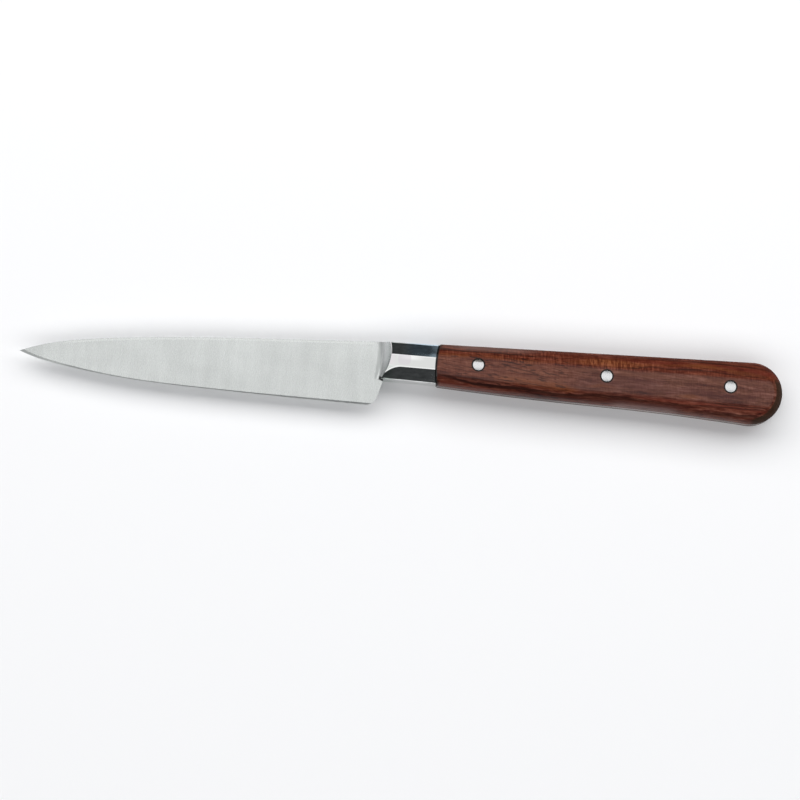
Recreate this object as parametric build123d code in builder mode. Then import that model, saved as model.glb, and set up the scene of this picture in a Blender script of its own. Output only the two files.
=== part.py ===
from build123d import *
from math import asin, atan2, cos, hypot, radians, sin, tan
import os

# Paring knife with a forged bolster, lying on its side on a table.
# X runs from the tip to the butt, Y from the cutting edge to the spine and Z up, in mm.
# The knife's own drawing starts on its axis, level with both ends of the joint of bolster and wood.

# Lengths along the knife
blade_length = 100.0
bolster_length = 12.75
handle_length = 92.9

# Blade, seen from the side: drops are below the axis, setbacks ahead of the bolster
heel_drop = 12.25
tip_drop = 5.7
heel_setback = 3.5
heel_radius = 3.2
choil_setback = 1.65

# Where the spine and the cutting edge pass, as shares of their length and of their fall or rise
spine_shares = [(0.238, 0.125), (0.529, 0.296), (0.770, 0.512), (0.911, 0.734)]
edge_shares = [(0.25, 0.035), (0.53, 0.115), (0.72, 0.258), (0.86, 0.512), (0.95, 0.764)]

# Blade, through its thickness
spine_thickness = 2.0
edge_thickness = 0.4
distal_taper = 0.45
edge_land = 0.06
bevel_angle = 20.0
bevel_reach = 3.0

# Bolster: a bar with faceted sides that a hollow on each side draws in to the blade
bolster_thickness = 11.0
bolster_front_height = 10.1
bolster_rear_height = 10.45
bolster_sag = 0.1
facet_height = 3.3
facet_drop = 1.6
bolster_corner_radius = 0.8
hollow_upper_radius = 3.3
hollow_middle_radius = 4.5
hollow_lower_radius = 1.9
hollow_middle_rise = 1.0
hollow_sink = 0.02

# Handle: two scales on a full tang
handle_thickness = 12.0
tang_thickness = 2.0
joint_bow = 0.55
front_proud = 0.35
front_ease_share = 0.9
butt_radius = 8.3
butt_drop = 0.45
belly_front_slope = 3.0
belly_setback = 40.0
belly_drop = 7.1
scale_rounding = 3.3
scale_front_rounding = 0.6

# Rivets, placed by shares of the handle's length
rivet_diameter = 3.3
rivet_rise = 0.5
rivet_crown = 0.12
rivet_chamfer = 0.2
rivet_shares = {"front_rivet": 0.1154, "middle_rivet": 0.4874, "rear_rivet": 0.8457}

# How far a cutting shape runs past what it cuts, and a buried corner stays inside what buries it
overrun = 2.0
burial = 0.5

# Places that follow from the sizes
tip_x = -(bolster_length + blade_length)
heel_x = -(bolster_length + heel_setback)
choil_x = -(bolster_length + choil_setback)
hollow_x = -(bolster_length + hollow_middle_radius)
front_top = bolster_front_height / 2 - bolster_sag
front_bottom = -bolster_front_height / 2 - bolster_sag
rear_top = bolster_rear_height / 2 - bolster_sag
rear_bottom = -bolster_rear_height / 2 - bolster_sag
butt_x = handle_length - butt_radius
butt_top = butt_radius - butt_drop
middle_z = handle_thickness / 2
scale_thickness = (handle_thickness - tang_thickness) / 2

# How fast the blade thins: from spine to edge, and from bolster to tip, on each side
side_slope = (spine_thickness - edge_thickness) / 2 / (front_top + heel_drop)
taper_slope = distal_taper / 2 / blade_length

# The part's origin lies on the table under the middle of the whole knife
junction_x = -(tip_x + handle_length) / 2
axis_y = -(butt_top - heel_drop) / 2
middle_plane = Plane((junction_x, axis_y, middle_z))


def cross_plane(along):
    """A plane across the knife, seen from the butt: its X is the knife's Y and its Y is up."""
    return Plane((junction_x + along, axis_y, middle_z), x_dir=(0, 1, 0), z_dir=(1, 0, 0))


def level_plane(height):
    """A plane along the knife at a height towards the spine: its X is the knife's and its Y is up."""
    return Plane((junction_x, axis_y + height, middle_z), x_dir=(1, 0, 0), z_dir=(0, -1, 0))


def half_thickness(along, height):
    """Half the thickness of the ground blade at a place on its side, before the cutting bevel."""
    return spine_thickness / 2 - side_slope * (front_top - height) + taper_slope * (bolster_length + along)


# Blade blank: spine, tip, cutting edge, rounded heel and choil, with its root inside the bolster
spine_run = hollow_x - tip_x
spine_fall = front_top + tip_drop
edge_run = heel_x - tip_x
edge_rise = heel_drop - tip_drop
tip = (tip_x, -tip_drop)
spine_start = (hollow_x, front_top)
spine_points = [(hollow_x - a * spine_run, front_top - b * spine_fall) for a, b in spine_shares]
heel = (heel_x, -heel_drop)
edge_points = [(heel_x - a * edge_run, -heel_drop + b * edge_rise) for a, b in edge_shares]

with BuildPart() as blade_body:
    with BuildSketch(middle_plane):
        with BuildLine():
            Spline(spine_start, *spine_points, tip)
            Spline(heel, *edge_points, tip)
            Polyline(heel, (choil_x, front_bottom), (choil_x, front_top - burial), spine_start)
        make_face()
    extrude(amount=spine_thickness, both=True)
    heel_corner = blade_body.edges().filter_by(Axis.Z).sort_by(Axis.Y)[0]
    fillet(heel_corner, heel_radius)

    # Flat ground sides that thin the blade from spine to edge and from bolster to tip
    for side in (1, -1):
        place = (junction_x - bolster_length, axis_y + front_top, middle_z + side * spine_thickness / 2)
        split(bisect_by=Plane(place, z_dir=(-taper_slope, -side_slope, side)), keep=Keep.BOTTOM)

# Cutting bevels: a wedge on each side of the edge, drawn along it from behind the heel past the tip
with BuildLine(middle_plane) as bevel_path:
    edge_line = Spline(heel, *edge_points, tip)
    Line(edge_line @ 0 - (edge_line % 0) * bevel_reach, edge_line @ 0)
    Line(edge_line @ 1, edge_line @ 1 + (edge_line % 1) * bevel_reach)
bevel_rise = bevel_reach * tan(radians(bevel_angle))
bevel_wire = bevel_path.wire()

with BuildPart() as bevel_cutters:
    with BuildSketch(Plane(bevel_wire @ 0, x_dir=(0, 0, 1), z_dir=bevel_wire % 0)):
        for side in (1, -1):
            with BuildLine():
                Polyline(
                    (side * edge_land / 2, -overrun),
                    (side * edge_land / 2, 0),
                    (side * (edge_land / 2 + bevel_rise), bevel_reach),
                    (side * spine_thickness, bevel_reach),
                    (side * spine_thickness, -overrun),
                    close=True,
                )
            make_face()
    sweep(path=bevel_wire, binormal=(0, 0, 1))

# Outline that the tang and both scales share, from the bowed joint with the bolster round the butt and back
shoulder_top = rear_top + front_proud
shoulder_bottom = rear_bottom - front_proud
shoulder_to_butt = hypot(butt_x, butt_drop + shoulder_top)
top_slope = asin(butt_radius / shoulder_to_butt) - atan2(butt_drop + shoulder_top, butt_x)
top_end = (butt_x - butt_radius * sin(top_slope), -butt_drop + butt_radius * cos(top_slope))

# The belly is two arcs: one from the bolster to its middle, then one that runs smoothly into the butt
front_angle = radians(belly_front_slope)
front_tangent = (cos(front_angle), -sin(front_angle))
middle_angle = 2 * atan2(belly_drop + shoulder_bottom, butt_x - belly_setback) - front_angle
middle_normal = Vector(sin(middle_angle), cos(middle_angle))
belly_middle = Vector(butt_x - belly_setback, -belly_drop)
butt_centre = Vector(butt_x, -butt_drop)
reach = belly_middle - butt_centre
rear_radius = (reach.length**2 - butt_radius**2) / 2 / (butt_radius + middle_normal.dot(reach))
touch_share = butt_radius / (rear_radius + butt_radius)
belly_rear = butt_centre + (reach - middle_normal * rear_radius) * touch_share

with BuildSketch() as handle_outline:
    with BuildLine():
        Line((0, shoulder_top), top_end)
        ThreePointArc(top_end, (handle_length, -butt_drop), belly_rear)
        front_arc = TangentArc((0, shoulder_bottom), belly_middle, tangent=front_tangent)
        TangentArc(belly_middle, belly_rear, tangent=front_arc % 1)
        ThreePointArc((0, shoulder_bottom), (-joint_bow, 0), (0, shoulder_top))
    make_face()

# Bolster: a bar with a flat facet and two sloping ones on each side, cut to the joint and to two hollows
with BuildPart() as bolster_body:
    for along, height in ((hollow_x, bolster_front_height), (0, bolster_rear_height)):
        with BuildSketch(cross_plane(along)) as bar_section:
            with Locations((-bolster_sag, 0)):
                Rectangle(height, bolster_thickness - 2 * facet_drop)
                for side in (1, -1):
                    shoulder = side * (bolster_thickness / 2 - facet_drop)
                    Polygon(
                        (-height / 2, shoulder),
                        (height / 2, shoulder),
                        (facet_height / 2, side * bolster_thickness / 2),
                        (-facet_height / 2, side * bolster_thickness / 2),
                        align=None,
                    )
            by_height = bar_section.vertices().group_by(Axis.X)
            fillet(by_height[0] + by_height[-1], bolster_corner_radius)
    loft(ruled=True)
    with BuildSketch(middle_plane):
        add(handle_outline.sketch)
    extrude(amount=bolster_thickness, both=True, mode=Mode.SUBTRACT)

hollow_sections = [
    (front_top + overrun, hollow_upper_radius),
    (hollow_middle_rise, hollow_middle_radius),
    (front_bottom - burial, hollow_lower_radius),
]

with BuildPart() as hollow_form:
    for height, radius in hollow_sections:
        with BuildSketch(level_plane(height)):
            start = half_thickness(hollow_x, height) - hollow_sink
            with BuildLine():
                for side in (1, -1):
                    CenterArc((hollow_x, side * (start + radius)), radius, -90 * side, 90 * side)
                    Polyline(
                        (hollow_x + radius, side * (start + radius)),
                        (hollow_x + radius, side * bolster_thickness),
                        (0, side * bolster_thickness),
                        (0, 0),
                    )
                Line((hollow_x, start), (hollow_x, -start))
            make_face()
    loft()

rivet_places = {name: share * handle_length for name, share in rivet_shares.items()}
rivet_holes = [(along, rivet_rise) for along in rivet_places.values()]

# The forging: blade, bolster and full tang in one piece
with BuildPart() as blade:
    add(blade_body.part)
    add(bevel_cutters.part, mode=Mode.SUBTRACT)
    add(bolster_body.part & hollow_form.part)
    with BuildSketch(middle_plane):
        add(handle_outline.sketch)
        with Locations(*rivet_holes):
            Circle(rivet_diameter / 2, mode=Mode.SUBTRACT)
    extrude(amount=tang_thickness / 2, both=True)
    for height in (shoulder_top, shoulder_bottom):
        corner = blade.edges().filter_by(Axis.Z).sort_by_distance((junction_x, axis_y + height, middle_z))[0]
        fillet(corner, front_proud * front_ease_share)

# Scales: flat on the outside, rounded all round, eased where they meet the bolster
with BuildPart() as left_scale:
    with BuildSketch(middle_plane.offset(tang_thickness / 2)):
        add(handle_outline.sketch)
    extrude(amount=scale_thickness)
    outer_edges = left_scale.faces().sort_by(Axis.Z)[-1].edges()
    front_edge = outer_edges.sort_by(Axis.X)[0]
    fillet([edge for edge in outer_edges if edge != front_edge], scale_rounding)
    front_face = left_scale.faces().sort_by(Axis.X)[0]
    fillet(front_face.edges().sort_by(Axis.Z)[1:], scale_front_rounding)
    with BuildSketch(middle_plane.offset(tang_thickness / 2)):
        with Locations(*rivet_holes):
            Circle(rivet_diameter / 2)
    extrude(amount=scale_thickness, mode=Mode.SUBTRACT)

with BuildPart() as right_scale:
    mirror(left_scale.part, about=middle_plane)

os.makedirs("parts", exist_ok=True)
blade.part.label = "blade"
left_scale.part.label = "left_scale"
right_scale.part.label = "right_scale"
export_step(blade.part, "parts/blade.step")
export_step(left_scale.part, "parts/left_scale.step")
export_step(right_scale.part, "parts/right_scale.step")

# Rivets: pins through the whole handle, with low domed and chamfered ends level with the wood
rivet_radius = rivet_diameter / 2
crown_radius = rivet_radius - rivet_chamfer
crown_z = middle_z - rivet_crown
chamfer_z = crown_z - rivet_chamfer

for name, along in rivet_places.items():
    rivet_axis = Axis((junction_x + along, axis_y + rivet_rise, middle_z), (0, 0, 1))
    with BuildPart() as rivet:
        with BuildSketch(Plane(rivet_axis.position, x_dir=(1, 0, 0), z_dir=(0, -1, 0))):
            with BuildLine():
                for side in (1, -1):
                    TangentArc((0, side * middle_z), (crown_radius, side * crown_z), tangent=(1, 0))
                    Line((crown_radius, side * crown_z), (rivet_radius, side * chamfer_z))
                Line((rivet_radius, chamfer_z), (rivet_radius, -chamfer_z))
                Line((0, middle_z), (0, -middle_z))
            make_face()
        revolve(axis=rivet_axis)
    rivet.part.label = name
    export_step(rivet.part, f"parts/{name}.step")
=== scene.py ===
import bpy
from math import cos, pi, radians, sin
from mathutils import Matrix, Vector


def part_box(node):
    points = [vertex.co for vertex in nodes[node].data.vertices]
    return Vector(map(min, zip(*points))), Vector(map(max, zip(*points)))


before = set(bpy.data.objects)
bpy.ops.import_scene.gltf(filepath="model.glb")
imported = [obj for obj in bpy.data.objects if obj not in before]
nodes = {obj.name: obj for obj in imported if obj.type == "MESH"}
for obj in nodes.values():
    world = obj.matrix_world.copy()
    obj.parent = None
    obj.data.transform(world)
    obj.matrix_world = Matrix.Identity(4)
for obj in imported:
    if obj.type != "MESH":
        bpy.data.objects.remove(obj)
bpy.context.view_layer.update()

MM = 0.001

# The knife's own zero is on its axis, level with the ends of the bowed joint of bolster and wood.
# Places are in millimetres from there: x or u to the butt, y or v to the spine, z up from mid-thickness.
RIVETS = ("front_rivet", "middle_rivet", "rear_rivet")
RIVET_RISE = 0.5
JOINT_BOW = 0.55
HALF_JOINT = 5.57
scale_low, scale_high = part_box("left_scale")
rivet_boxes = [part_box(name) for name in RIVETS]
rivet_radius = (rivet_boxes[0][1][0] - rivet_boxes[0][0][0]) / 2 / MM
joint_x = scale_low[0] + JOINT_BOW * MM
axis_y = (rivet_boxes[0][0][1] + rivet_boxes[0][1][1]) / 2 - RIVET_RISE * MM
middle_z = scale_high[2] / 2
handle_length = (scale_high[0] - joint_x) / MM
rivet_places = [((low[0] + high[0]) / 2 - joint_x) / MM for low, high in rivet_boxes]


class Socket:
    """A socket of a finish, on which Python's operators add Math or Vector Math nodes."""

    def __init__(self, finish, link):
        self.finish = finish
        self.link = link

    def calculate(self, operation, first, second=0.0):
        """One Math node, or one Vector Math node where a vector or colour takes part."""
        is_vector = any(isinstance(s, Socket) and s.link.type in ("VECTOR", "RGBA") for s in (first, second))
        kind = "ShaderNodeVectorMath" if is_vector else "ShaderNodeMath"
        node = self.finish.node(kind, {"operation": operation}, {0: first, 1: second})
        return node["Vector" if is_vector else "Value"]

    def __add__(self, other):
        return self.calculate("ADD", self, other)

    def __radd__(self, other):
        return self.calculate("ADD", other, self)

    def __sub__(self, other):
        return self.calculate("SUBTRACT", self, other)

    def __rsub__(self, other):
        return self.calculate("SUBTRACT", other, self)

    def __mul__(self, other):
        return self.calculate("MULTIPLY", self, other)

    def __rmul__(self, other):
        return self.calculate("MULTIPLY", other, self)

    def __truediv__(self, other):
        return self.calculate("DIVIDE", self, other)

    def __pow__(self, other):
        return self.calculate("POWER", self, other)

    def __abs__(self):
        return self.calculate("ABSOLUTE", self)

    def most(self, other):
        """The larger of two numbers."""
        return self.calculate("MAXIMUM", self, other)


class Node:
    """A node of a finish, whose outputs are picked by name or number."""

    def __init__(self, finish, node):
        self.finish = finish
        self.node = node

    def __getitem__(self, name):
        return Socket(self.finish, self.node.outputs[name])


class Finish:
    """A procedural material."""

    def __init__(self, name):
        self.material = bpy.data.materials.new(name)
        self.material.use_nodes = True
        self.tree = self.material.node_tree
        self.tree.nodes.clear()

    def node(self, kind, settings=None, values=None):
        """Adds a node: its settings and ramp stops first, then the values or links of its sockets."""
        node = self.tree.nodes.new(kind)
        for name, value in (settings or {}).items():
            if name == "stops":
                self.set_stops(node.color_ramp, value)
            elif name == "easing":
                node.color_ramp.interpolation = value
            else:
                setattr(node, name, value)
        for name, value in (values or {}).items():
            socket = node.inputs[name]
            if isinstance(value, Socket):
                self.tree.links.new(value.link, socket)
            elif isinstance(value, (int, float)) and socket.type in ("VECTOR", "RGBA"):
                socket.default_value = (value,) * len(socket.default_value)
            else:
                socket.default_value = value
        return Node(self, node)

    def set_stops(self, ramp, stops):
        """Gives a colour ramp its stops, as (place, colour)."""
        while len(ramp.elements) < len(stops):
            ramp.elements.new(1.0)
        for element, (place, colour) in zip(ramp.elements, stops):
            element.position = place
            element.color = (*colour, 1.0)

    def place(self):
        """The place on the knife, in millimetres from its own zero."""
        where = self.node("ShaderNodeTexCoord")["Object"] * (1 / MM)
        return where - (joint_x / MM, axis_y / MM, middle_z / MM)

    def split(self, vector):
        """The three parts of a vector or colour."""
        parts = self.node("ShaderNodeSeparateXYZ", values={0: vector})
        return parts["X"], parts["Y"], parts["Z"]

    def join(self, x=0.0, y=0.0, z=0.0):
        """A vector from three numbers."""
        return self.node("ShaderNodeCombineXYZ", values={"X": x, "Y": y, "Z": z})["Vector"]

    def tint(self, tone, red, green, blue):
        """A colour from one tone and the share of each light in it."""
        values = {"Red": tone * red, "Green": tone * green, "Blue": tone * blue}
        return self.node("ShaderNodeCombineColor", values=values)["Color"]

    def noise(self, vector, scale=1.0, detail=2.0, roughness=0.5, distortion=0.0):
        """Soft noise from 0 to 1 about one half, with its scale in waves to a millimetre."""
        values = {"Vector": vector, "Scale": scale, "Detail": detail, "Roughness": roughness}
        values["Distortion"] = distortion
        return self.node("ShaderNodeTexNoise", values=values)["Fac"]

    def step(self, value, low, high):
        """0 at low, 1 at high and smooth between."""
        values = {"Value": value, "From Min": low, "From Max": high}
        return self.node("ShaderNodeMapRange", {"interpolation_type": "SMOOTHSTEP"}, values)["Result"]

    def near(self, value, centre, outer, inner):
        """1 within the inner distance of a centre, 0 past the outer one and smooth between."""
        return self.step(abs(value - centre), outer, inner)

    def swing(self, noise, amount):
        """Noise about zero, half an amount to either side."""
        return (noise - 0.5) * amount

    def past_joint(self, along, across):
        """How far a place is past the bowed joint of bolster and wood."""
        return along + (1 - across * across / HALF_JOINT**2) * JOINT_BOW

    def blend(self, share, first, second):
        """A number between two."""
        return self.node("ShaderNodeMix", values={"Factor": share, "A": first, "B": second})["Result"]

    def mix(self, share, first, second):
        """A colour between two."""
        colours = [c if isinstance(c, Socket) else (*c, 1.0) for c in (first, second)]
        values = {0: share, 6: colours[0], 7: colours[1]}
        return self.node("ShaderNodeMix", {"data_type": "RGBA"}, values)[2]

    def ramp(self, value, stops, easing="LINEAR"):
        """A colour from a ramp."""
        return self.node("ShaderNodeValToRGB", {"stops": stops, "easing": easing}, {"Fac": value})["Color"]

    def level(self, value, stops):
        """A number from a ramp of (place, number)."""
        greys = [(place, (number,) * 3) for place, number in stops]
        return self.split(self.ramp(value, greys))[0]

    def bump(self, height, strength=1.0, normal=None):
        """A surface normal from a height in millimetres."""
        values = {"Height": height, "Distance": MM, "Strength": strength}
        if normal:
            values["Normal"] = normal
        return self.node("ShaderNodeBump", values=values)["Normal"]

    def finish(self, **values):
        """Ends the material in one principled shader."""
        named = {name.replace("_", " "): value for name, value in values.items()}
        shader = self.node("ShaderNodeBsdfPrincipled", values=named)
        self.node("ShaderNodeOutputMaterial", values={"Surface": shader["BSDF"]})
        return self.material


# A ramp holds heights from -10 to 10 mm as numbers from 0 to 1
RAMP_REACH = 10.0


def coded(height):
    return (height + RAMP_REACH) / (2 * RAMP_REACH)


def decoded(number):
    return number * (2 * RAMP_REACH) - RAMP_REACH


# The photograph's view lifts what stands 1 mm off the middle plane by this much
VIEW_LIFT = 0.105

# The spine of the blade: (distance ahead of the joint, height over the axis)
SPINE_REACH = 115.0
SPINE = [
    (17, 4.96), (30, 4.19), (45, 3.33), (55, 2.71), (65, 2.01),
    (75, 1.19), (85, 0.19), (92, -0.66), (99, -1.73), (108, -3.94),
]

# Places along the forging, each with where its mask is 0 and where it is 1
BLADE_END = (-17.0, -18.0)
TIP = (-96.0, -104.0)
POINT = (-104.0, -110.0)
BEVEL_END = (-13.0, -14.0)
HOLLOW_FRONT = (-17.3, -17.2)
HOLLOW_REAR = (-12.0, -12.5)
BAR_FRONT = (-17.0, -16.9)
BEHIND_RIM = (-13.2, -13.1)
BAR_END = (0.1, 0.0)
TANG_FRONT = (0.2, 0.4)

# The hollow: its depth, and the rim that curves up the bar from its foot to its top
BLADE_HALF_THICKNESS = 0.95
HOLLOW_DEPTH = 5.0
RIM_AHEAD = 12.8
RIM_FOOT = 1.0
RIM_TOP = 6.95
RIM_LEAN = 0.2017
RIM_BEND = 0.047

# The lower end of the hollow is a curve that is level behind its bend and falls ahead of it
CURVE_DROP = 1.17
CURVE_BEND = 9.0
CURVE_FALL = 0.048
CURVE_POWER = 2.3

# Painted shade in a dark spot under the front corner of the bolster, which keeps off the blade on the
# underside
CORNER_SHADE_X = -14.5
CORNER_SHADE_HEIGHT = -5.0
CORNER_SHADE_LEAN = 0.35
CORNER_SHADE_UNDERSIDE = (3.2, 4.2)
FAR = 9.0

# Noises on the steel, in waves to a millimetre along x, y and z
GRINDING_WAVES = (0.35, 0.07, 0.35)
FINE_WAVES = (5.0, 0.18, 5.0)
CLOUD_WAVES = (0.045, 0.13, 0.1)
SLOPE_PATCH_WAVES = (0.35, 0.9, 0.9)
UNEVEN_WAVES = (0.14, 0.28, 0.28)
FINE_RELIEF = 0.0006
UNEVEN_RELIEF = 0.012

SATIN_TONE = 0.755
SATIN_CAST = (0.965, 1.0, 0.985)
SATIN_ROUGHNESS = 0.27
POLISHED_ROUGHNESS = 0.055
# Painted highlight along the spine of the blade
SPINE_GLINT = (0.86, 0.89, 0.87)
# Painted highlight along the upper rim of the hollow
RIM_GLINT = (0.93, 0.93, 0.93)
FACET = (0.71, 0.72, 0.71)
# Painted reflections and highlights on the polished bar: light facet edges, a pinkish front, a lower part, a
# glow, a rosy patch, bluish and greenish slopes
FACET_EDGE_HIGHLIGHT = (0.88, 0.89, 0.89)
FACET_FRONT_REFLECTION = (0.80, 0.72, 0.77)
FACET_LOW_REFLECTION = (0.68, 0.71, 0.69)
FACET_PAINTED_GLOW = (0.90, 0.90, 0.90)
ROSY_REFLECTION = (0.66, 0.60, 0.66)
BLUISH_REFLECTION = (0.60, 0.76, 0.88)
GREENISH_REFLECTION = (0.50, 0.56, 0.52)
# Painted shade under the front corner of the bolster and in the joint
PAINTED_SHADE_BLACK = (0.01, 0.01, 0.01)

# Painted shade in the hollow, darkest on its way up from the blade: (share of its depth, share of the
# steel's colour)
HOLLOW_PAINTED_SHADE = [
    (0.005, (1.0, 1.0, 1.0)),
    (0.020, (0.90, 0.90, 0.90)),
    (0.05, (0.68, 0.68, 0.69)),
    (0.10, (0.50, 0.50, 0.51)),
    (0.17, (0.62, 0.615, 0.63)),
    (0.30, (0.76, 0.75, 0.77)),
    (0.50, (0.76, 0.75, 0.77)),
    (0.80, (1.0, 1.0, 1.0)),
]

# Painted reflections of wood, light and shadow on the tang's edge between the scales: (where it is 0, where
# it is 1, colour)
TANG_PAINTED_REFLECTIONS = [
    (44.0, 30.0, (0.20, 0.155, 0.14)),
    (30.0, 44.0, (0.55, 0.48, 0.455)),
    (60.0, 76.0, (0.34, 0.29, 0.27)),
]


class ForgedSteel(Finish):
    """The forging: satin blade and hollow with marks across them, polished bar of the bolster."""

    def __init__(self):
        super().__init__("forged_steel")
        self.spot = self.place()
        self.x, self.y, self.z = self.split(self.spot)
        self.face = self.node("ShaderNodeNewGeometry")["Normal"]
        face_x, self.face_y, face_z = self.split(self.face)
        self.height = self.y + abs(self.z) * VIEW_LIFT
        self.depth = abs(self.z) - BLADE_HALF_THICKNESS
        self.fine = self.noise(self.spot * FINE_WAVES, roughness=0.6)
        self.clouds = self.noise(self.spot * CLOUD_WAVES)
        self.in_hollow = self.step(self.x, *HOLLOW_FRONT) * self.step(self.x, *HOLLOW_REAR)

        # The bar of the bolster is what stands clear of the blade behind the rim of the hollow
        along_bar = self.step(abs(face_x), 0.30, 0.20)
        clear = self.step(abs(self.z), 1.30, 1.45) * self.step(self.x, *BAR_FRONT)
        behind_rim = clear.most(self.step(self.x, *BEHIND_RIM))
        self.polished = along_bar * behind_rim * self.step(self.x, *BAR_END)

        # The cutting bevel is known by its slope
        facing_up = abs(face_z)
        sloped = self.step(facing_up, 0.985, 0.965) * self.step(facing_up, 0.88, 0.91)
        self.bevel = sloped * self.step(self.x, *BEVEL_END)

        # The rim of the hollow is rounded over at its upper and its lower end
        over_foot = self.y - RIM_FOOT
        curved = over_foot * RIM_LEAN + over_foot * (self.y - RIM_TOP) * RIM_BEND
        self.past_rim = self.x + RIM_AHEAD + curved
        self.upper_rim = self.step(self.past_rim, 0.18, 0.06) * self.step(self.y, 1.2, 1.6)
        ahead = (self.x * -1 - CURVE_BEND).most(0.0)
        self.over_curve = self.height + CURVE_DROP + ahead**CURVE_POWER * CURVE_FALL
        lower_rim = self.step(self.over_curve, -0.06, 0.10) * self.step(self.y, -0.8, -1.2)
        self.rounded = lower_rim.most(self.upper_rim) * self.polished
        self.sloping = self.step(abs(self.face_y), 0.2, 0.3) * (1 - self.rounded)
        self.upper_slope = self.sloping * self.step(self.y, 1.0, 1.5)

    def satin(self):
        """The blade: grinding marks across it, a painted highlight along the spine and a darker point."""
        grinding = self.noise(self.spot * GRINDING_WAVES)
        marks = self.swing(grinding, 0.13) + self.swing(self.fine, 0.02) + self.swing(self.clouds, 0.18)
        colour = self.tint(SATIN_TONE + marks, *SATIN_CAST)
        stops = [(along / SPINE_REACH, coded(height)) for along, height in SPINE]
        below_spine = decoded(self.level(self.x / -SPINE_REACH, stops)) - self.y
        # Painted highlight: a light line just below the spine, along the blade
        line = self.near(below_spine, 0.45, 0.35, 0.15) * self.step(self.x, *BLADE_END)
        line = line * (1 - self.step(self.x, *TIP))
        colour = self.mix(line * 0.55, colour, SPINE_GLINT)
        return colour * (1 - self.step(self.x, *POINT) * 0.12)

    def with_hollow(self, colour):
        """The hollow: painted shade from the blade up, darker low down, and a painted highlight along its
        upper rim.
        """
        # Painted shade, darker low down in the hollow
        low = self.step(self.y, 0.5, -2.5) * self.step(self.depth, 0.02, 0.2)
        shaded = colour * self.ramp(self.depth / HOLLOW_DEPTH, HOLLOW_PAINTED_SHADE) * (1 - low * 0.2)
        colour = self.mix(self.in_hollow, colour, shaded)
        # Painted highlight: a light line along the upper rim
        along_rim = self.step(self.past_rim, -0.36, -0.22) * self.step(self.x, -12.2, -12.4)
        glint = along_rim * self.step(self.y, 1.2, 1.8) * self.in_hollow
        return self.mix(glint, colour, RIM_GLINT)

    def with_tang(self, colour):
        """The tang's edge between the scales, with painted reflections of wood, light and shadow in turn."""
        tang = self.step(self.x, *TANG_FRONT)
        # Painted reflections along the tang's edge
        for start, full, tone in TANG_PAINTED_REFLECTIONS:
            colour = self.mix(tang * self.step(self.x, start, full), colour, tone)
        return colour

    def polish(self):
        """The bar: painted light edges, glow and rosy patch on its flat facet, and painted reflections on
        its slopes.
        """
        flat = 1 - self.sloping
        # Painted highlights and reflections on the flat facet and the slopes
        edges = self.step(abs(self.height - 0.5), 1.25, 1.55)
        colour = self.mix(edges * flat, FACET, FACET_EDGE_HIGHLIGHT)
        front = self.step(self.x, -10.5, -13.0) * self.step(self.height, -0.9, -0.4)
        colour = self.mix(front * flat * 0.5, colour, FACET_FRONT_REFLECTION)
        low = self.step(self.over_curve, 0.25, 0.5) * self.step(self.height, -0.8, -1.2)
        colour = self.mix(low * flat, colour, FACET_LOW_REFLECTION)
        glow = self.near(self.x, -7.5, 4.5, 0.5) * self.step(self.height, 0.5, 1.5)
        colour = self.mix(glow * flat * 0.9, colour, FACET_PAINTED_GLOW)
        from_patch = abs((self.x + 9.1) / 1.8) ** 3 + abs((self.height - 0.9) / 1.6) ** 3
        patch = self.step(from_patch + self.swing(self.clouds, 1.2), 1.15, 0.5)
        colour = self.mix(patch * flat * 0.45, colour, ROSY_REFLECTION)
        colour = self.mix(self.step(self.x, -10.5, -6.0) * self.upper_slope, colour, BLUISH_REFLECTION)
        colour = self.mix(self.step(self.x, -11.5, -13.0) * self.sloping, colour, GREENISH_REFLECTION)
        # The slopes are lighter and darker in patches
        slope_patches = self.noise(self.spot * SLOPE_PATCH_WAVES, detail=3.0, roughness=0.6)
        return colour * (1 + self.swing(slope_patches, 1.3) * self.sloping)

    def painted_shade_marks(self):
        """Painted shade: a dark spot under the front corner of the bolster and a line at the joint."""
        beside = self.x - CORNER_SHADE_X
        along = self.step(abs(beside), 1.15, 0.9)
        across = self.step(abs(self.height - CORNER_SHADE_HEIGHT + beside * CORNER_SHADE_LEAN), 0.55, 0.42)
        off_underside = self.step(abs(self.face_y), 0.9, 0.8)
        # Painted shade in a spot under the front corner of the bolster
        corner_shade = along * across * self.step(abs(self.z) + off_underside * FAR, *CORNER_SHADE_UNDERSIDE)
        # Painted shade in the joint of bolster and wood
        joint = self.step(self.past_joint(self.x, self.y), -0.32, -0.18) * self.step(self.x, 0.3, 0.1)
        return corner_shade.most(joint)

    def roughness(self):
        """Satin blade and bevel, and a bar whose slopes are duller towards the wood."""
        satin = SATIN_ROUGHNESS + self.swing(self.fine, 0.06) + self.bevel * 0.3
        rear = self.step(self.x, -3.5, -0.8) * self.sloping * 0.10
        rear_upper = self.step(self.x, -4.5, -0.8) * self.upper_slope * 0.22
        low = self.step(self.height, 3.3, 2.5) * self.step(self.x, -8.5, -4.5)
        dull = rear + rear_upper + low * self.upper_slope * 0.20
        return self.blend(self.polished, satin, POLISHED_ROUGHNESS + dull)

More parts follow.
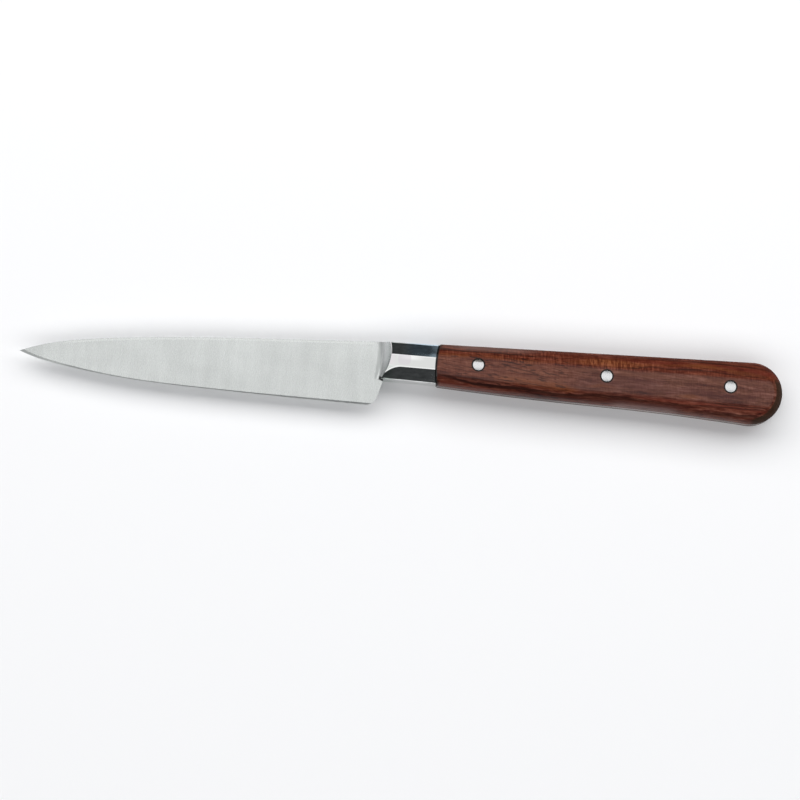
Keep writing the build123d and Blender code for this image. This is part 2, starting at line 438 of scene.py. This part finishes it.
    def normal(self):
        """Turned up on the rounded rim and on the bevel at the tip, with faint relief elsewhere."""
        upward = self.join(self.upper_rim * -0.4, 0.0, self.step(self.z, -0.1, 0.1) * 2 - 1)
        turned_up = self.rounded.most(self.bevel * self.step(self.x, *TIP) * 0.9)
        values = {0: turned_up, 4: self.face, 5: upward}
        turned = self.node("ShaderNodeMix", {"data_type": "VECTOR"}, values)[1]
        normal = self.node("ShaderNodeVectorMath", {"operation": "NORMALIZE"}, {0: turned})["Vector"]
        uneven = self.noise(self.spot * UNEVEN_WAVES, detail=1.0)
        relief = self.swing(self.fine, FINE_RELIEF) * (1 - self.polished)
        return self.bump(relief + self.swing(uneven, UNEVEN_RELIEF) * self.polished, normal=normal)

    def make(self):
        satin = self.with_tang(self.with_hollow(self.satin()))
        colour = self.mix(self.polished, satin, self.polish())
        colour = self.mix(self.painted_shade_marks() * 0.97, colour, PAINTED_SHADE_BLACK)
        return self.finish(
            Base_Color=colour, Metallic=1.0, Roughness=self.roughness(), Normal=self.normal()
        )


# Streaks of each colour in the wood: (distance from the joint, height over the axis, half width, strength)
BLACK_BROWN = [
    [
        (0, -2.3, 0.25, 0.5), (3, -2.7, 0.35, 0.75), (6, -3.3, 0.35, 0.85), (9, -3.9, 0.3, 1.0),
        (12, -4.0, 0.4, 1.0), (16, -3.95, 0.4, 0.95), (20, -4.1, 0.5, 0.95), (25, -4.2, 0.4, 0.95),
        (31, -4.7, 0.3, 0.8), (36, -4.8, 0.3, 0.8), (40, -4.3, 0.5, 0.7), (44, -4.2, 0.6, 0.7),
        (49, -4.3, 0.7, 0.75), (54, -4.6, 0.4, 0.85), (58, -4.6, 0.25, 0.4), (62, -4.8, 0.3, 0.7),
        (67, -4.9, 0.25, 0.7), (72, -4.7, 0.2, 0.4), (77, -4.6, 0.2, 0.7), (84, -4.6, 0.2, 0.8),
        (89, -4.4, 0.2, 0.4),
    ],
    [
        (4, -2.5, 0.2, 0.2), (9, -2.5, 0.3, 0.6), (13, -3.0, 0.3, 0.6), (16, -3.1, 0.2, 0.3),
        (20, -3.2, 0.2, 0.0),
    ],
    [
        (0, 4.9, 0.55, 0.9), (2, 4.7, 0.45, 0.75), (5, 4.6, 0.38, 0.65), (12, 4.85, 0.2, 0.8),
        (18, 4.8, 0.3, 0.75), (25, 4.7, 0.4, 0.6), (31, 5.0, 0.3, 0.5), (38, 5.3, 0.15, 0.1),
        (42, 5.8, 0.15, 0.1), (45, 5.9, 0.15, 0.1), (52, 6.9, 0.2, 0.4), (57, 7.2, 0.25, 0.8),
        (62, 7.2, 0.2, 0.5), (75, 7.2, 0.3, 0.7), (84, 6.8, 0.3, 0.7), (89, 6.4, 0.3, 0.4),
    ],
    [
        (0, 3.8, 0.2, 0.0), (48, 3.8, 0.15, 0.0), (51, 3.9, 0.2, 0.7), (54, 4.0, 0.2, 0.6),
        (57, 4.7, 0.2, 0.6), (60, 4.5, 0.2, 0.6), (63, 4.2, 0.2, 0.7), (67, 4.9, 0.2, 0.5),
        (71, 4.9, 0.2, 0.7), (76, 4.6, 0.2, 0.7), (80, 4.2, 0.2, 0.3), (84, 4.2, 0.2, 0.0),
    ],
    [
        (68, -3.6, 0.12, 0.0), (75, -3.8, 0.2, 0.7), (80, -3.9, 0.2, 0.7), (87, -4.0, 0.2, 0.6),
        (91, -3.8, 0.2, 0.2),
    ],
    [
        (58, -6.1, 0.2, 0.0), (68, -6.1, 0.3, 0.4), (76, -6.3, 0.4, 0.7), (84, -6.5, 0.4, 0.7),
        (90, -6.2, 0.4, 0.5),
    ],
]
PLUM = [
    [
        (0, -2.1, 0.9, 0.75), (4, -2.6, 0.9, 0.65), (8, -2.9, 0.8, 0.6), (13, -2.7, 0.8, 0.8),
        (16, -2.8, 0.7, 0.7), (19, -3.1, 0.5, 0.2), (22, -3.2, 0.4, 0.0),
    ],
    [
        (34, -2.9, 0.3, 0.0), (38, -2.8, 0.8, 0.8), (44, -3.1, 0.7, 0.6), (50, -3.6, 0.5, 0.5),
        (56, -3.6, 0.4, 0.3), (62, -3.5, 0.3, 0.3), (72, -3.6, 0.4, 0.4), (78, -3.7, 0.3, 0.0),
    ],
    [
        (19, -5.1, 0.3, 0.0), (23, -5.1, 0.6, 0.8), (30, -5.2, 0.6, 0.8), (38, -5.3, 0.5, 0.7),
        (46, -5.1, 0.5, 0.7), (54, -5.4, 0.4, 0.7), (62, -5.4, 0.5, 0.8), (66, -5.3, 0.5, 0.7),
        (72, -6.0, 0.4, 0.2),
    ],
    [
        (60, 4.7, 0.3, 0.0), (64, 4.8, 0.5, 0.6), (67, 4.8, 0.7, 0.9), (69, 4.7, 0.4, 0.5),
        (72, 4.9, 0.3, 0.0),
    ],
]
AMBER = [
    [
        (0, 2.9, 0.6, 0.5), (4, 3.0, 0.6, 0.6), (7.5, 3.1, 0.6, 0.6), (9, 3.5, 0.6, 0.1),
        (15, 3.4, 0.7, 0.5), (17, 3.3, 0.7, 0.4), (20, 3.3, 0.5, 0.2), (24, 3.0, 0.8, 0.7),
        (26, 3.0, 0.7, 0.5), (29, 3.3, 0.5, 0.1), (36, 4.2, 0.5, 0.3), (40, 4.5, 1.1, 0.8),
        (46, 4.8, 1.3, 1.0), (52, 4.6, 1.0, 0.8), (56, 4.9, 0.5, 0.5), (60, 5.2, 0.4, 0.3),
        (66, 6.0, 0.5, 0.5), (69, 5.9, 0.8, 1.0), (72, 6.0, 0.7, 0.9), (76, 6.0, 0.5, 0.5),
        (80, 4.8, 0.7, 0.5), (84, 4.8, 0.8, 0.5), (88, 4.5, 0.6, 0.2),
    ],
    [
        (14, -2.0, 0.5, 0.0), (18, -2.1, 0.9, 0.6), (24, -2.3, 0.9, 0.5), (30, -2.8, 1.1, 0.6),
        (34, -3.2, 1.0, 0.9), (36.5, -3.4, 0.8, 0.5), (39, -3, 0.5, 0.0), (42, -1.6, 0.5, 0.4),
        (45, -1.6, 0.5, 0.4), (48, -1.8, 0.4, 0.0), (64, -2.6, 0.4, 0.0), (67, -2.5, 0.6, 0.7),
        (69, -2.5, 0.6, 0.6), (72, -2.6, 0.4, 0.0),
    ],
]
# Where a painted milky reflection lies along the middle of the face
PAINTED_VEIL_COURSE = [
    (28, 0.2, 2.8, 0.0), (35, 0.1, 2.8, 0.5), (39, -0.05, 2.9, 0.9), (47, -0.1, 2.9, 1.0),
    (55, -0.05, 3.0, 1.0), (61, 0.1, 3.2, 0.95), (67, 0.15, 3.3, 0.9), (75, 0.1, 3.3, 0.85),
    (84, 0.1, 3.4, 0.85), (92, 0.1, 3.4, 0.85),
]
MAUVE = [
    [
        (2, -1.2, 0.6, 0.1), (6, -1.2, 0.9, 0.5), (12, -0.9, 1.4, 0.6), (16, -0.6, 1.8, 0.6),
        (19, -0.4, 1.2, 0.1), (33, -1.5, 1.0, 0.0), (37, -1.9, 1.2, 0.6), (42, -0.9, 2.3, 0.8),
        (48, -0.5, 2.4, 0.9), (55, -0.7, 2.2, 0.9), (60, -1.2, 1.8, 0.9), (65, -1.2, 1.4, 0.6),
        (71, -1.3, 1.4, 0.7), (78, -1.4, 1.0, 0.5), (84, -1.3, 1.2, 0.4), (89, -1.0, 1.0, 0.1),
    ],
]
SALMON = [
    [
        (16, -1.3, 0.5, 0.0), (19, -1.4, 0.9, 1.0), (24, -1.5, 0.9, 0.8), (30, -1.4, 1.0, 0.9),
        (35, -1.4, 0.8, 0.4), (38, -1.5, 0.5, 0.0),
    ],
    [
        (2, 2.2, 0.5, 0.0), (6, 2.2, 0.8, 0.5), (10, 2.4, 0.5, 0.0), (17, 2.2, 0.5, 0.2),
        (21, 2.2, 0.8, 0.5), (26, 2.2, 0.6, 0.1), (37, 2.1, 0.6, 0.5), (42, 2.3, 0.7, 0.6),
        (52, 2.2, 0.8, 0.7), (60, 2.3, 0.8, 0.8), (66, 2.4, 0.7, 0.2), (76, 2.3, 0.9, 0.7),
        (88, 2.4, 0.8, 0.5),
    ],
    [
        (1, 0.4, 0.6, 0.3), (6, 0.5, 0.9, 0.6), (10, 0.3, 0.7, 0.6), (14, 0.3, 0.5, 0.0),
        (20, 0.5, 0.6, 0.4), (26, 0.2, 1.0, 0.7), (32, 0.3, 0.9, 0.4), (36, 0.3, 0.6, 0.0),
    ],
    [
        (0, -4.9, 0.7, 0.9), (5, -4.9, 0.8, 1.0), (10, -5.3, 0.6, 0.9), (15, -5.7, 0.5, 0.8),
        (20, -6.0, 0.4, 0.5), (25, -6.2, 0.3, 0.0),
    ],
]
PORE_LINES = [
    [
        (12.5, 1.5, 0.16, 0.0), (14, 1.35, 0.16, 0.9), (17, 1.0, 0.16, 0.8), (18, 0.9, 0.16, 0.0),
    ],
    [
        (17.5, 1.6, 0.16, 0.0), (19, 1.4, 0.2, 0.9), (22, 0.95, 0.2, 0.9), (26, 0.15, 0.2, 0.8),
        (27.5, 0.0, 0.16, 0.0),
    ],
    [
        (18.5, 0.3, 0.16, 0.0), (20, 0.15, 0.2, 0.9), (22.5, -0.2, 0.16, 0.8), (25.5, -0.16, 0.2, 0.8),
        (29, -0.65, 0.2, 0.8), (32, -0.8, 0.16, 0.0),
    ],
    [
        (3.5, 0.6, 0.16, 0.0), (5, 0.35, 0.16, 0.8), (6.3, 0.0, 0.16, 0.8), (7.5, -0.3, 0.16, 0.0),
    ],
    [
        (4.8, -0.3, 0.16, 0.0), (6, -0.5, 0.16, 0.8), (7.6, -0.9, 0.16, 0.6), (10, -0.9, 0.16, 0.7),
        (12, -1.2, 0.16, 0.5), (15, -1.1, 0.2, 0.7), (18, -1.5, 0.16, 0.0),
    ],
    [
        (15.5, -2.2, 0.16, 0.0), (17, -2.4, 0.15, 0.8), (22, -2.4, 0.15, 0.8), (26, -2.8, 0.15, 0.9),
        (31, -3.5, 0.18, 0.9), (34, -3.8, 0.16, 0.0),
    ],
    [
        (72, -2.0, 0.16, 0.0), (75, -2.1, 0.16, 0.7), (79, -2.5, 0.2, 0.7), (82, -2.7, 0.16, 0.5),
        (86, -2.6, 0.16, 0.0),
    ],
]
RED = [
    [
        (0, -4.2, 0.8, 0.6), (5, -4.5, 0.7, 0.6), (10, -4.9, 0.6, 0.6), (18, -5.1, 0.5, 0.6),
        (24, -5.4, 0.3, 0.0),
    ],
    [
        (50, 5.9, 0.4, 0.0), (56, 5.9, 0.5, 0.4), (61, 6.0, 0.6, 0.8), (66, 6.3, 0.4, 0.3),
        (70, 6.9, 0.3, 0.3), (80, 6.3, 0.6, 0.7), (86, 5.6, 0.9, 0.7), (91, 5.0, 0.9, 0.9),
    ],
    [
        (52, -3.8, 0.4, 0.0), (57, -3.9, 0.5, 0.5), (61, -4.0, 0.5, 0.6), (68, -4.2, 0.5, 0.5),
        (73, -4.3, 0.6, 0.6), (80, -4.4, 0.5, 0.4), (87, -5.0, 0.5, 0.5),
    ],
]

# A ramp holds half widths up to 4 mm
WIDEST_HALF = 4.0

# The wood's colours between its streaks, from dark to light: (tone, colour)
WOOD_COLOURS = [
    (0.12, (0.034, 0.008, 0.006)),
    (0.34, (0.076, 0.018, 0.011)),
    (0.50, (0.116, 0.035, 0.020)),
    (0.66, (0.172, 0.060, 0.037)),
    (0.90, (0.260, 0.105, 0.065)),
]

# How strong the ribbon figure is along the handle: (share of its length, strength)
RIBBON_STRENGTH = [
    (0.00, 0.25), (0.15, 0.30), (0.19, 0.85), (0.32, 0.75), (0.38, 0.35),
    (0.44, 1.0), (0.58, 0.95), (0.64, 0.20), (0.95, 0.20),
]

# What the red, green and blue of the colour are multiplied by in parts of the wood
# The painted milky reflection, and the greyer patches within it
PAINTED_VEIL_DUSKY = (0.78, 0.84, 0.88)
PAINTED_VEIL_MILKY = (1.05, 1.24, 1.52)
UPPER_CAST = (0.88, 0.66, 0.60)
# Painted shade on the lower part
LOWER_SHADE_CAST = (0.80, 0.70, 0.72)
# Painted reflection: lighter and bluer along the lower edge
LOWER_EDGE_REFLECTION = (1.30, 1.45, 1.55)

MAUVE_BROWN = (0.070, 0.021, 0.018)
SALMON_BROWN = (0.190, 0.075, 0.047)
AMBER_DARK = (0.115, 0.028, 0.010)
AMBER_LIGHT = (0.27, 0.090, 0.032)
RED_BROWN = (0.150, 0.030, 0.019)
PLUM_BROWN = (0.046, 0.015, 0.013)
NEARLY_BLACK = (0.016, 0.006, 0.005)
PORE_BROWN = (0.022, 0.007, 0.006)
# Painted sheen along the front of the upper rim
UPPER_RIM_PAINTED_SHEEN = (0.21, 0.14, 0.12)
# Painted reflection along the lower rim
RIM_PAINTED_REFLECTION = (0.26, 0.175, 0.165)
# End grain at the butt, darkened partly as painted shade
END_GRAIN_AND_SHADE = (0.030, 0.019, 0.012)
# Painted shade in the gaps at the joint and round each rivet
GAP_SHADE_BLACK = (0.008, 0.006, 0.005)

# The layers of the wood are told apart by the height at which the photograph shows them on the upper
# face. They lean by LAYER_LEAN for each millimetre down through the handle.
FACE_LIFT = 0.63
LAYER_LEAN = 0.2

# Parts of the wood by layer, each with where its mask is 0 and where it is 1
UPPER_PART = (2.2, 3.0)
LOWER_PART = (-2.8, -3.6)
LOWER_EDGE = (-5.0, -6.0)

BUTT_CENTRE = (83.4, 0.6)
# Painted shade in a ring round each rivet: (outer radius, inner radius)
RIVET_RING = (rivet_radius + 0.30, rivet_radius + 0.14)


class RedHardwood(Finish):
    """Varnished red-brown hardwood: streaks along it, ribbon figure across it and short pores."""

    def __init__(self):
        super().__init__("red_hardwood")
        self.spot = self.place()
        self.u, self.v, self.z = self.split(self.spot)
        self.face_x, self.face_y, _ = self.split(self.node("ShaderNodeNewGeometry")["Normal"])
        below_face = middle_z / MM - self.z
        self.layer = self.v + FACE_LIFT + below_face * LAYER_LEAN
        self.bend = self.noise(self.spot * (0.10, 0.25, 0.25), detail=3.0)
        self.wavy = self.layer + self.swing(self.bend, 0.9)
        self.fibres = self.noise(self.stretched(self.wavy, 0.30, 3.0), detail=4.0, roughness=0.7)
        self.patches = self.noise(self.stretched(self.v, 0.24, 0.42), detail=3.0, roughness=0.65)

        # A painted reflection of the varnish, a milky veil, runs along the middle of the face, between an
        # upper and a lower part
        self.painted_veil = self.streak(self.layer + self.swing(self.patches, 0.9), PAINTED_VEIL_COURSE, 1.14, 0.88)
        self.upper = self.step(self.layer, *UPPER_PART)
        self.lower = self.step(self.layer, *LOWER_PART)

        # The ribbon figure crosses the upper part, but not its topmost edge behind 36 mm
        ribbon_place = self.join(self.u * 2.7 + self.v * 0.3, self.v * 0.45, self.z * 0.45)
        self.ribbon = self.noise(ribbon_place, roughness=0.6, distortion=0.3)
        below_top = self.step(self.layer - self.step(self.u, 36.0, 32.0) * 4, 6.2, 5.2)
        self.figured = self.upper * below_top * self.level(self.u / handle_length, RIBBON_STRENGTH)

    def stretched(self, height, along, across):
        """A place for noise, in waves to a millimetre along the fibres and across them."""
        return self.join(self.u * along, height * across, self.z * across)

    def streak(self, layer, course, outer=1.25, inner=0.35):
        """A streak along a course, which fades out between two shares of its half width."""
        stops = [
            (u / handle_length, (coded(v), half / WIDEST_HALF, strength)) for u, v, half, strength in course
        ]
        centre, half, strength = self.split(self.ramp(self.u / handle_length, stops, "B_SPLINE"))
        distance = abs(layer - decoded(centre)) / (half * WIDEST_HALF)
        return self.step(distance, outer, inner) * strength

    def streaks(self, layer, courses):
        """All the streaks of one colour."""
        mask = self.streak(layer, courses[0])
        for course in courses[1:]:
            mask = mask.most(self.streak(layer, course))
        return mask

    def ground(self):
        """The wood between its streaks: fibres, broad bands, ribbon figure, a painted milky reflection and
        painted light and shade at its rims.
        """
        bands = self.noise(self.stretched(self.wavy, 0.09, 0.9), detail=3.0, roughness=0.6)
        clear = 1 - self.painted_veil
        band_depth = 0.85 + self.painted_veil * 0.25
        fibre_depth = 1.15 - self.painted_veil * 0.30 + self.lower * 0.6
        ribbon_depth = 0.35 + self.figured * clear * 1.1 - self.lower * 0.25
        tone = 0.5 + self.swing(bands, band_depth) + self.swing(self.fibres, fibre_depth)
        colour = self.ramp(tone + self.swing(self.ribbon, ribbon_depth), WOOD_COLOURS)
        # Painted reflection: milky where the patches are light, greyer where they are dark
        veiled = self.mix(self.step(self.patches, 0.42, 0.60), colour * PAINTED_VEIL_DUSKY, colour * PAINTED_VEIL_MILKY)
        colour = self.mix(self.painted_veil.most(self.step(self.patches, 0.45, 0.6) * 0.3), colour, veiled)
        # Painted shade on the lower part, and a painted reflection along the lower edge
        for part, cast in (
            (self.upper * clear, UPPER_CAST),
            (self.lower * clear, LOWER_SHADE_CAST),
            (self.step(self.layer, *LOWER_EDGE), LOWER_EDGE_REFLECTION),
        ):
            colour = self.mix(part, colour, colour * cast)
        # Painted reflection: a pale strip along the lower rim
        rim_reflection = self.near(self.u, 56, 11.0, 6.0) * self.step(self.face_y, -0.45, -0.85)
        return self.mix(rim_reflection * 0.5, colour, RIM_PAINTED_REFLECTION)

    def with_streaks(self, colour):
        """Streaks with ragged edges, the amber ones striped by the ribbon figure."""
        ragged = self.layer + self.swing(self.fibres, 0.9) + self.swing(self.bend, 0.5)
        stripes = self.step(self.ribbon, 0.38, 0.62) * self.figured + 0.5 * (1 - self.figured)
        amber = self.mix(stripes, AMBER_DARK, AMBER_LIGHT)
        for courses, strength, tone in (
            (MAUVE, 0.55, MAUVE_BROWN),
            (SALMON, 0.45, SALMON_BROWN),
            (AMBER, 0.65, amber),
            (RED, 0.6, RED_BROWN),
            (PLUM, 0.75, PLUM_BROWN),
            (BLACK_BROWN, 0.9, NEARLY_BLACK),
        ):
            colour = self.mix(self.streaks(ragged, courses) * strength, colour, tone)
        return colour

    def pores(self):
        """Short dark dashes that fall a little towards the butt, and some long lines."""
        slanted = self.wavy + self.u * 0.10
        dashes = self.step(self.noise(self.stretched(slanted, 0.34, 2.4), detail=1.0), 0.58, 0.68)
        density = self.near(self.u, 20, 22.0, 8.0) * 0.45 + 0.35 - self.painted_veil * 0.15
        lines = self.streaks(self.layer + self.swing(self.fibres, 0.25), PORE_LINES)
        return (dashes * density).most(lines * 0.7)

    def with_edges(self, colour):
        """A painted sheen along the front of the upper edge, and a dark end grain at the butt that is partly
        painted shade.
        """
        front_rim_sheen = self.step(self.face_y, 0.35, 0.75) * self.step(self.u, 30.0, 18.0)
        front_rim_sheen = front_rim_sheen * (0.5 + self.step(self.u, 2.0, 8.0) * 0.5)
        colour = self.mix(front_rim_sheen * 0.45, colour, UPPER_RIM_PAINTED_SHEEN)
        along, across = self.u - BUTT_CENTRE[0], self.layer - BUTT_CENTRE[1]
        outermost = self.step((along**2 + across**2) ** 0.5, 7.45, 7.75)
        facing_end = self.step(self.face_x * 0.85 - self.face_y * 0.5, 0.0, 0.12)
        end_grain_and_shade = outermost * facing_end * self.step(self.u, 84.0, 86.0) * self.step(self.layer, 5.5, 3.0)
        return self.mix(end_grain_and_shade * 0.85, colour, END_GRAIN_AND_SHADE)

    def gap_shade(self):
        """Painted shade in the gaps at the joint and round each rivet, and at the front corners of the wood.
        """
        gap = self.step(self.past_joint(self.u, self.v), 0.42, 0.22)
        gap = gap.most(self.step(self.u, 1.1, 0.3) * self.step(abs(self.v), 4.0, 4.8) * 0.7)
        for rivet_u in rivet_places:
            away = self.join(self.u - rivet_u, self.v - RIVET_RISE)
            reach = self.node("ShaderNodeVectorMath", {"operation": "LENGTH"}, {0: away})["Value"]
            gap = gap.most(self.step(reach, *RIVET_RING))
        return gap

    def sheen(self):
        """Where the varnish shines: on the middle of the face and again at the lower rim."""
        middle = self.step(abs(self.layer - 0.1) - self.u * 0.006, 3.25, 2.7)
        rim = self.step(self.face_y, -0.68, -0.95) * self.step(self.u, 88.0, 80.0)
        return (middle * self.step(self.face_x, 0.6, 0.25)).most(rim * 0.8)

    def make(self):
        pores = self.pores()
        colour = self.mix(pores, self.with_streaks(self.ground()), PORE_BROWN)
        colour = self.mix(self.gap_shade() * 0.9, self.with_edges(colour), GAP_SHADE_BLACK)
        return self.finish(
            Base_Color=colour,
            Roughness=0.5,
            Specular_IOR_Level=0.0,
            Coat_Weight=0.10 + self.sheen() * 0.4,
            Coat_Roughness=0.12,
            Normal=self.bump(self.swing(self.fibres, 0.012) - pores * 0.012, 0.6),
        )


PIN_TONE = 0.80
PIN_ROUGHNESS = 0.16
FRONT_RIVET_END = (20.0, 19.0)
# Painted shade across the top of the front rivet: (where it is 0, where it is 1)
SHADED_TOP = (1.22, 1.36)


def bright_pin():
    """Polished light metal, with painted shade across the top of the front rivet."""
    metal = Finish("bright_pin")
    place = metal.place()
    x, y, _ = metal.split(place)
    marks = metal.noise(place, scale=5.0, detail=3.0)
    on_front_rivet = metal.step(x, *FRONT_RIVET_END)
    # Painted shade: darker and less blue across the top of the front rivet
    dull = on_front_rivet * metal.step(y + metal.swing(marks, 0.4), *SHADED_TOP)
    tone = (PIN_TONE + metal.swing(marks, 0.20)) * (1 - dull * 0.58)
    return metal.finish(
        Base_Color=metal.tint(tone, 0.995, 1.0 - dull * 0.05, 1.01 - dull * 0.12),
        Metallic=1.0,
        Roughness=PIN_ROUGHNESS + marks * 0.10,
        Normal=metal.bump(marks * 0.006),
    )


def dress(node, material):
    """Gives a CAD node its finish."""
    mesh = nodes[node].data
    mesh.materials.clear()
    mesh.materials.append(material)


def deselect():
    bpy.ops.object.select_all(action="DESELECT")


FLOOR_SIZE = 8.0
FLOOR_DROP = 0.02
FLOOR_WHITE = (0.92, 0.92, 0.925, 1.0)


def make_floor():
    """A wide pale floor that takes the knife's shadow."""
    deselect()
    bpy.ops.mesh.primitive_plane_add(size=FLOOR_SIZE, location=(0, 0, -FLOOR_DROP * MM))
    floor = bpy.context.object
    floor.name = "floor"
    paint = Finish("floor_paint")
    floor.data.materials.append(paint.finish(Base_Color=FLOOR_WHITE, Roughness=0.9, Specular_IOR_Level=0.0))


def make_softbox(name, centre, width, height, brightness):
    """A level softbox over the knife, its sizes in metres and its brightness where 1 is white."""
    deselect()
    bpy.ops.object.light_add(type="AREA", location=centre)
    lamp = bpy.context.object
    lamp.name = name
    lamp.data.shape = "RECTANGLE"
    lamp.data.size = width
    lamp.data.size_y = height
    lamp.data.energy = brightness * pi * width * height
    lamp.visible_camera = False
    lamp.visible_glossy = False


SHINY_WHITE = (1, 1, 1, 1)
ROOM_FILL = (0.02, 0.025, 0.035, 1)


def make_light():
    """Softboxes overhead, one behind and one in front of the knife, in a white room that shines in metal."""
    make_softbox("rear_softbox", centre=(0.0, 0.67, 0.9), width=2.6, height=0.96, brightness=2.66)
    make_softbox("front_softbox", centre=(0.0, -0.56, 0.9), width=2.6, height=0.68, brightness=1.78)
    world = bpy.data.worlds.new("room")
    bpy.context.scene.world = world
    world.use_nodes = True
    tree = world.node_tree
    path = tree.nodes.new("ShaderNodeLightPath")
    fill = tree.nodes.new("ShaderNodeMix")
    fill.data_type = "RGBA"
    fill.inputs[6].default_value = SHINY_WHITE
    fill.inputs[7].default_value = ROOM_FILL
    tree.links.new(path.outputs["Is Diffuse Ray"], fill.inputs["Factor"])
    tree.links.new(fill.outputs[2], tree.nodes["Background"].inputs["Color"])


def make_card(name, top, bottom, half_length, tone):
    """A card that only shiny surfaces see, from the middle of its top edge to that of its bottom edge."""
    deselect()
    bpy.ops.mesh.primitive_plane_add(size=1.0)
    card = bpy.context.object
    card.name = name
    for vertex in card.data.vertices:
        end = Vector(half_length) if vertex.co.x > 0 else -Vector(half_length)
        vertex.co = Vector(top if vertex.co.y > 0 else bottom) + end
    cloth = Finish(name + "_cloth")
    glow = {"Emission_Color": (tone * 0.95, tone, tone * 1.04, 1.0), "Emission_Strength": 1.0}
    card.data.materials.append(cloth.finish(Base_Color=(0, 0, 0, 1), Specular_IOR_Level=0.0, **glow))
    card.visible_camera = False
    card.visible_diffuse = False
    card.visible_shadow = False


def make_cards():
    """Dark cards round the knife, open overhead and towards the tip."""
    side = {"half_length": (0.6, 0, 0), "tone": 0.055}
    make_card("rear_card", top=(0.1, 0.34, 0.95), bottom=(0.1, 1.2, 0.01), **side)
    make_card("front_card", top=(0.1, -0.14, 0.95), bottom=(0.1, -1.2, 0.01), **side)
    end = {"half_length": (0, 1.0, 0), "tone": 0.08}
    make_card("right_card", top=(0.6, 0.1, 0.8), bottom=(1.1, 0.0, 0.01), **end)


def make_camera():
    """Looks down on the knife from a little towards its edge, turned so that the butt hangs lower."""
    pixels_per_mm = 3.71
    junction_px = (438.0, 365.5)
    image_px = 800.0
    tilt = radians(6.0)
    roll = radians(5.0)
    distance = 0.80
    sensor_width = 36.0
    right = Vector((cos(roll), sin(roll), 0))
    up = Vector((-sin(roll), cos(roll), 0))
    offset_x = (image_px / 2 - junction_px[0]) / pixels_per_mm * MM
    offset_y = (junction_px[1] - image_px / 2) / pixels_per_mm * MM
    target = Vector((joint_x, axis_y, middle_z)) + right * offset_x + up * offset_y
    back = Vector((0, -sin(tilt), cos(tilt)))
    right = (right - back * right.dot(back)).normalized()
    up = back.cross(right)
    deselect()
    bpy.ops.object.camera_add(location=target + back * distance)
    camera = bpy.context.object
    camera.name = "camera"
    camera.rotation_euler = Matrix((right, up, back)).transposed().to_euler()
    camera.data.sensor_width = sensor_width
    camera.data.lens = sensor_width * distance / (image_px / pixels_per_mm * MM)
    camera.data.clip_end = 20.0
    bpy.context.scene.camera = camera


dress("blade", ForgedSteel().make())
wood = RedHardwood().make()
dress("left_scale", wood)
dress("right_scale", wood)
pin = bright_pin()
for name in RIVETS:
    dress(name, pin)

make_floor()
make_light()
make_cards()
make_camera()
bpy.context.scene.view_settings.view_transform = "Standard"
